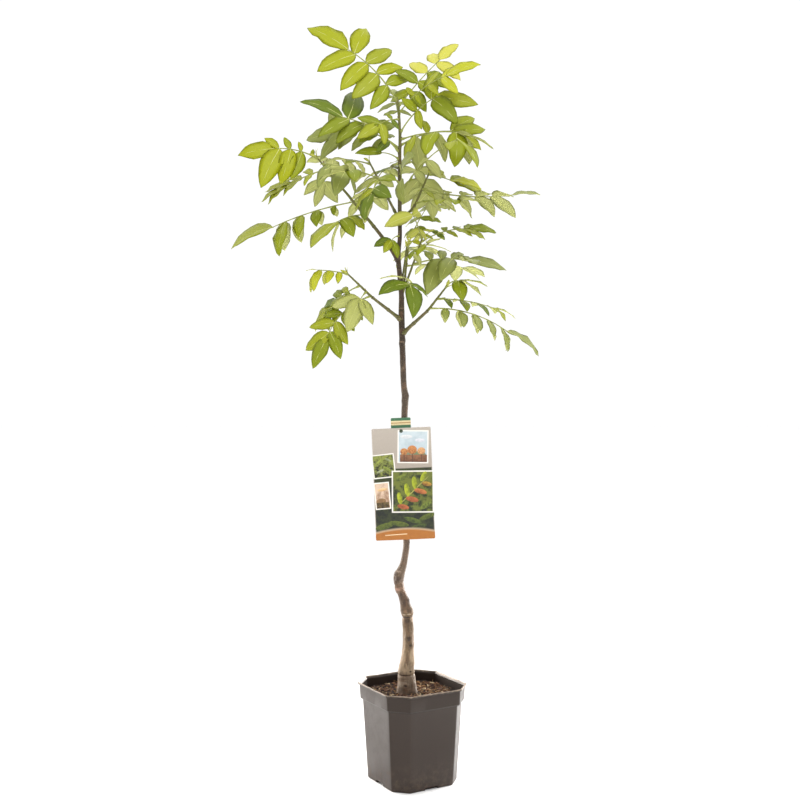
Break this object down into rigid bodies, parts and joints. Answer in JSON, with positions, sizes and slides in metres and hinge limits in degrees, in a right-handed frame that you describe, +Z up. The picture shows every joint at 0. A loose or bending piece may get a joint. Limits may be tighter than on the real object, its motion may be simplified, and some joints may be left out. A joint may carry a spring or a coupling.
{
  "type": "potted walnut tree",
  "caption": "Young grafted walnut tree with open feathered leaves on a slim trunk, standing in a squared nursery pot of bark mix, with a hanging picture card.",
  "frame": {"origin": "middle of the pot's flat underside", "axes": "+Z up the trunk, +Y towards the back, +X to the tree's right as seen from its labelled front"},
  "size_m": [0.6178, 0.4554, 1.4982],
  "materials": {
    "pot": "dark taupe moulded pot, satin, with dusty streaks",
    "soil": "damp dark bark chips and coir fibre",
    "bark": "smooth grey-brown young bark with rusty patches and pale scars",
    "twig": "dark brown to green young wood",
    "foliage": "soft yellow-green leaflets with pale midribs and paler undersides",
    "label_card": "coated card printed with a plain made-up orchard picture",
    "label_tie": "dark green flexible plastic"
  },
  "bodies": {
    "root": {"pot": "pot", "soil": "soil", "trunk": "bark", "bough_back": "twig", "bough_low_left": "twig", "bough_low_right": "twig", "bough_mid_left": "twig", "bough_upper_left": "twig", "bough_upper_right": "twig", "foliage_back": "foliage", "foliage_low_left": "foliage", "foliage_low_right": "foliage", "foliage_mid_left": "foliage", "foliage_upper_left": "foliage", "foliage_upper_right": "foliage", "leaves_high_front_left": "foliage", "leaves_high_left": "foliage", "leaves_high_left_back": "foliage", "leaves_high_right": "foliage", "leaves_high_right_back": "foliage", "leaves_high_right_front": "foliage", "leaves_knot_front": "foliage", "leaves_low_front": "foliage", "leaves_middle_back_left": "foliage", "leaves_middle_back_right": "foliage", "leaves_middle_front": "foliage", "leaves_middle_front_left": "foliage", "leaves_middle_right_front": "foliage", "leaves_top_back": "foliage", "leaves_top_front": "foliage", "leaves_top_left": "foliage", "leaves_top_right": "foliage", "leaves_top_right_front": "foliage", "shoot_middle": "foliage", "shoot_right": "foliage", "label_card": "label_card", "label_tie": "label_tie"}
  },
  "joints": []
}
